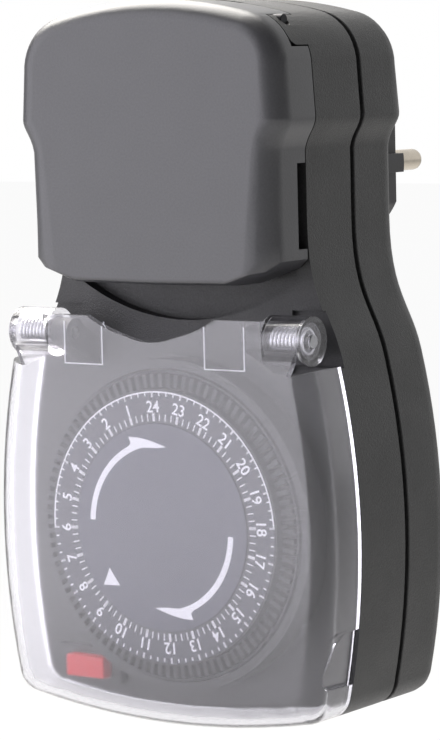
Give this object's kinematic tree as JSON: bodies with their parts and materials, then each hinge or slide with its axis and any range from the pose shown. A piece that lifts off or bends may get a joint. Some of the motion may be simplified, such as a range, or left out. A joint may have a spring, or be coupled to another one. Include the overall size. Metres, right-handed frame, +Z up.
{
  "type": "plug in timer switch",
  "caption": "Mechanical plug in timer switch with a lidded socket, a quarter-hour tappet dial under a clear hinged cover, and an earthed round-pin plug on the back.",
  "frame": {"origin": "midway between the two plug pins, on the end face of the plug body", "axes": "+Z up, front faces -Y, +X to the right seen from the front; the plug pins point along +Y"},
  "size_m": [0.0878, 0.0911, 0.1538],
  "materials": {
    "case_plastic": "fine grained, moulded",
    "lid_plastic": "fine grained, satin",
    "clear_plastic": "clear, lightly frosted",
    "plug_plastic": "moulded",
    "socket_plastic": "moulded",
    "dial_plastic": "moulded",
    "label_plastic": "printed",
    "tappet_plastic": "moulded",
    "inner_plastic": "moulded",
    "slider_plastic": "moulded",
    "lead_plastic": "insulation",
    "seal_rubber": "soft",
    "pin_nickel": "nickel plated, satin",
    "pin_steel": "drawn",
    "screw_steel": "zinc plated",
    "spring_steel": "drawn wire",
    "plate_steel": "zinc plated",
    "motor_steel": "zinc plated can",
    "contact_brass": "stamped"
  },
  "bodies": {
    "case": {"rear_housing": "case_plastic", "front_housing": "case_plastic", "housing_seal": "seal_rubber", "housing_screws": "screw_steel", "plug_body": "plug_plastic", "plug_pin_left": "pin_nickel", "plug_pin_right": "pin_nickel", "plug_earth_clips": "contact_brass", "socket_cup": "socket_plastic", "socket_seal": "seal_rubber", "contact_carrier": "inner_plastic", "socket_contact_left": "contact_brass", "socket_contact_right": "contact_brass", "socket_earth_clips": "contact_brass", "earth_strap": "contact_brass", "lid_hinge_pin": "pin_steel", "lid_spring": "spring_steel", "cover_pin_left": "pin_steel", "cover_pin_right": "pin_steel", "cover_spring_left": "spring_steel", "cover_spring_right": "spring_steel", "dial_arbor": "pin_steel", "arbor_clip": "spring_steel", "movement_plate": "plate_steel", "movement_screws": "screw_steel", "idler_arbor": "pin_steel", "motor": "motor_steel", "motor_leads": "lead_plastic", "lever_pivot": "pin_steel", "fixed_contact": "contact_brass", "live_bar": "contact_brass", "switched_bar": "contact_brass", "neutral_bar": "contact_brass"},
    "lid": {"socket_lid": "lid_plastic", "lid_gasket": "seal_rubber"},
    "cover": {"dial_cover": "clear_plastic"},
    "dial": {"dial_wheel": "dial_plastic", "number_ring": "label_plastic", "centre_disc": "label_plastic", "tappets": "tappet_plastic", "dial_gear": "inner_plastic"},
    "set_tappets": {"set_tappets": "tappet_plastic"},
    "idler": {"idler_wheel": "inner_plastic"},
    "pinion": {"motor_pinion": "contact_brass"},
    "shutter": {"shutter": "inner_plastic"},
    "slider": {"override_slider": "slider_plastic"},
    "lever": {"switch_lever": "inner_plastic", "moving_contact": "contact_brass"}
  },
  "joints": [
    {"name": "lid_hinge", "type": "hinge", "parent": "case", "child": "lid", "pos_m": [0, -0.062, 0.0318], "axis": [-1, 0, 0], "range_deg": [0, 90], "stiffness_Nm_per_rad": 0.02},
    {"name": "cover_hinge", "type": "hinge", "parent": "case", "child": "cover", "pos_m": [0, -0.06686, -0.0338], "axis": [-1, 0, 0], "range_deg": [0, 110], "stiffness_Nm_per_rad": 0.02},
    {"name": "dial_turn", "type": "hinge", "parent": "case", "child": "dial", "pos_m": [0, -0.06, -0.0745], "axis": [0, -1, 0], "continuous": true},
    {"name": "tappet_push", "type": "slide", "parent": "dial", "child": "set_tappets", "axis": [0, 1, 0], "range_m": [0, 0.0035]},
    {"name": "idler_turn", "type": "hinge", "parent": "case", "child": "idler", "pos_m": [0, -0.054, -0.0513], "axis": [0, -1, 0], "continuous": true},
    {"name": "pinion_turn", "type": "hinge", "parent": "case", "child": "pinion", "pos_m": [0, -0.053, -0.06642], "axis": [0, -1, 0], "continuous": true},
    {"name": "shutter_turn", "type": "hinge", "parent": "case", "child": "shutter", "pos_m": [0, -0.0375, 0], "axis": [0, -1, 0], "range_deg": [0, 36], "stiffness_Nm_per_rad": 0.0008},
    {"name": "override_slide", "type": "slide", "parent": "case", "child": "slider", "axis": [-1, 0, 0], "range_m": [0, 0.0035]},
    {"name": "lever_swing", "type": "hinge", "parent": "case", "child": "lever", "pos_m": [0.03455, -0.0554, -0.066], "axis": [0, -1, 0], "range_deg": [0, 3], "stiffness_Nm_per_rad": 0.002}
  ],
  "couplings": [
    {"joint": "idler_turn", "follows": "dial_turn", "ratio": -4.8},
    {"joint": "pinion_turn", "follows": "dial_turn", "ratio": 21.6}
  ]
}
